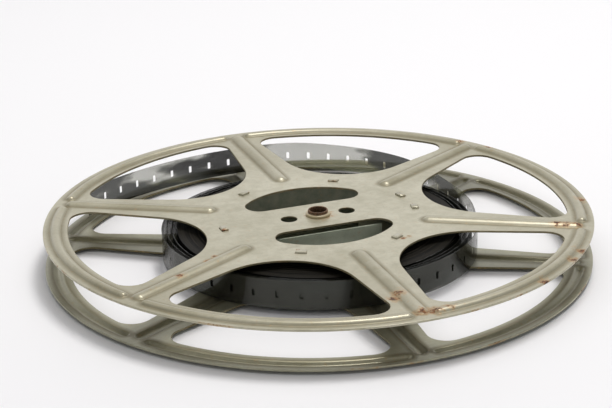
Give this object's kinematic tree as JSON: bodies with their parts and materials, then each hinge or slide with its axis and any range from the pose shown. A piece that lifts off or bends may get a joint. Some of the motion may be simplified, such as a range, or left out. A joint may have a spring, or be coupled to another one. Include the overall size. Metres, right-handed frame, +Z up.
{
  "type": "cine film reel",
  "caption": "Pressed steel cine reel: spoked flanges clinched to a rolled core drum, with spindle eyelets, drive holes and a loosely wound narrow film whose free end has sprung out.",
  "frame": {"origin": "under the middle of the reel, on the surface that its lower ribs and beads lie on", "axes": "+Z up along the spindle axis, +X through the two drive holes towards the core drum's seam"},
  "size_m": [0.178, 0.178, 0.0161],
  "materials": {
    "flange_paint": "semi-gloss grey beige stoving paint on steel sheet, worn to rust at edges",
    "drum_paint": "semi-gloss grey green paint on steel strip",
    "eyelet_steel": "painted steel worn through to rust at the bore",
    "film": "glossy film base, dark with silver image"
  },
  "bodies": {
    "reel": {"upper_flange": "flange_paint", "lower_flange": "flange_paint", "core_drum": "drum_paint", "upper_spindle_eyelet": "eyelet_steel", "lower_spindle_eyelet": "eyelet_steel", "hub_saddle": "drum_paint"},
    "film": {"film_pack": "film", "film_outer_turns": "film", "film_tail": "film"}
  },
  "joints": [
    {"name": "film_turn", "type": "hinge", "parent": "reel", "child": "film", "pos_m": [0, 0, 0.0076], "axis": [0, 0, 1], "continuous": true}
  ]
}
